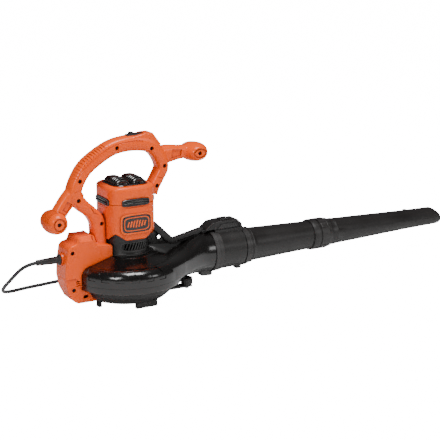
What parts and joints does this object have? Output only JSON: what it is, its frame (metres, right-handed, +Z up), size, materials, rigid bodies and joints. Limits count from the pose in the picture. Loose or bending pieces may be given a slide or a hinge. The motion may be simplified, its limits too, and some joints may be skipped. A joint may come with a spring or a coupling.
{
  "type": "leaf blower",
  "caption": "Corded electric leaf blower: round fan casing, loop handle with cross grips, upright motor cover, and a long two-piece blow tube.",
  "frame": {"origin": "centre of the tool's footprint box at floor level, cord left out", "axes": "+X from the motor towards the nozzle, +Z up, standing on its feet"},
  "size_m": [1.0398, 0.297, 0.3425],
  "materials": {
    "orange_shell": "semi-gloss moulded",
    "black_plastic": "fine matt moulded",
    "gloss_black": "gloss moulded",
    "cord_rubber": "matt",
    "steel_parts": "zinc plated",
    "copper_wire": "enamelled copper",
    "brass_parts": "bright",
    "carbon_brush": "pressed carbon"
  },
  "bodies": {
    "frame": {"housing_right": "orange_shell", "housing_left": "orange_shell", "motor_cover_lower": "orange_shell", "motor_cover_top": "orange_shell", "top_vent": "black_plastic", "side_vent_right": "black_plastic", "side_vent_front": "black_plastic", "side_vent_left": "black_plastic", "side_vent_rear": "black_plastic", "badge_plate": "black_plastic", "motor_collar": "black_plastic", "fan_casing_upper": "gloss_black", "fan_casing_lower": "black_plastic", "intake_skirt": "black_plastic", "door_hinge_pin": "steel_parts", "outlet_brace": "black_plastic", "switch_bezel": "black_plastic", "switch_body": "black_plastic", "cord_relief": "cord_rubber", "cord_clamp": "black_plastic", "power_cord": "cord_rubber", "plug_body": "cord_rubber", "plug_blade_right": "brass_parts", "plug_blade_left": "brass_parts", "stator_core": "steel_parts", "field_winding_upper": "copper_wire", "field_winding_lower": "copper_wire", "lower_bearing": "steel_parts", "upper_bearing": "steel_parts", "bearing_bracket": "black_plastic", "brush_holder_rear": "brass_parts", "brush_holder_front": "brass_parts", "brush_rear": "carbon_brush", "brush_front": "carbon_brush", "screw_front_top": "steel_parts", "screw_top": "steel_parts", "screw_front": "steel_parts", "screw_front_low": "steel_parts", "screw_rear_top": "steel_parts", "screw_rear": "steel_parts", "screw_leg": "steel_parts", "screw_body_top": "steel_parts", "screw_body_low": "steel_parts", "screw_front_grip": "steel_parts", "screw_rear_grip": "steel_parts"},
    "rotor": {"motor_shaft": "steel_parts", "armature": "copper_wire", "commutator": "brass_parts", "cooling_fan": "black_plastic", "impeller": "black_plastic", "impeller_nut": "steel_parts"},
    "slider": {"speed_slider": "black_plastic"},
    "tube": {"tube_connector": "black_plastic", "blow_tube": "black_plastic", "release_spring": "steel_parts"},
    "button": {"release_button": "black_plastic"},
    "nozzle_end": {"nozzle": "black_plastic"},
    "door": {"intake_door": "black_plastic"},
    "knob": {"door_knob": "black_plastic"}
  },
  "joints": [
    {"name": "fan_spin", "type": "hinge", "parent": "frame", "child": "rotor", "pos_m": [-0.307, 0, 0.074], "axis": [0, 0, 1], "continuous": true},
    {"name": "speed_slide", "type": "slide", "parent": "frame", "child": "slider", "axis": [1, 0, 0], "range_m": [0, 0.012]},
    {"name": "tube_pull", "type": "slide", "parent": "frame", "child": "tube", "axis": [1, 0, 0], "range_m": [0, 0.08]},
    {"name": "tube_release", "type": "slide", "parent": "tube", "child": "button", "axis": [0, 0, -1], "range_m": [0, 0.004], "stiffness_N_per_m": 700, "springref_m": -0.003, "deforming": ["release_spring"]},
    {"name": "nozzle_pull", "type": "slide", "parent": "tube", "child": "nozzle_end", "axis": [1, 0, 0], "range_m": [0, 0.06]},
    {"name": "intake_door_hinge", "type": "hinge", "parent": "frame", "child": "door", "pos_m": [-0.373, 0, 0.018], "axis": [0, 1, 0], "range_deg": [0, 80]},
    {"name": "knob_turn", "type": "hinge", "parent": "door", "child": "knob", "pos_m": [-0.186, -0.032, 0.03], "axis": [0, 0, 1], "continuous": true}
  ]
}
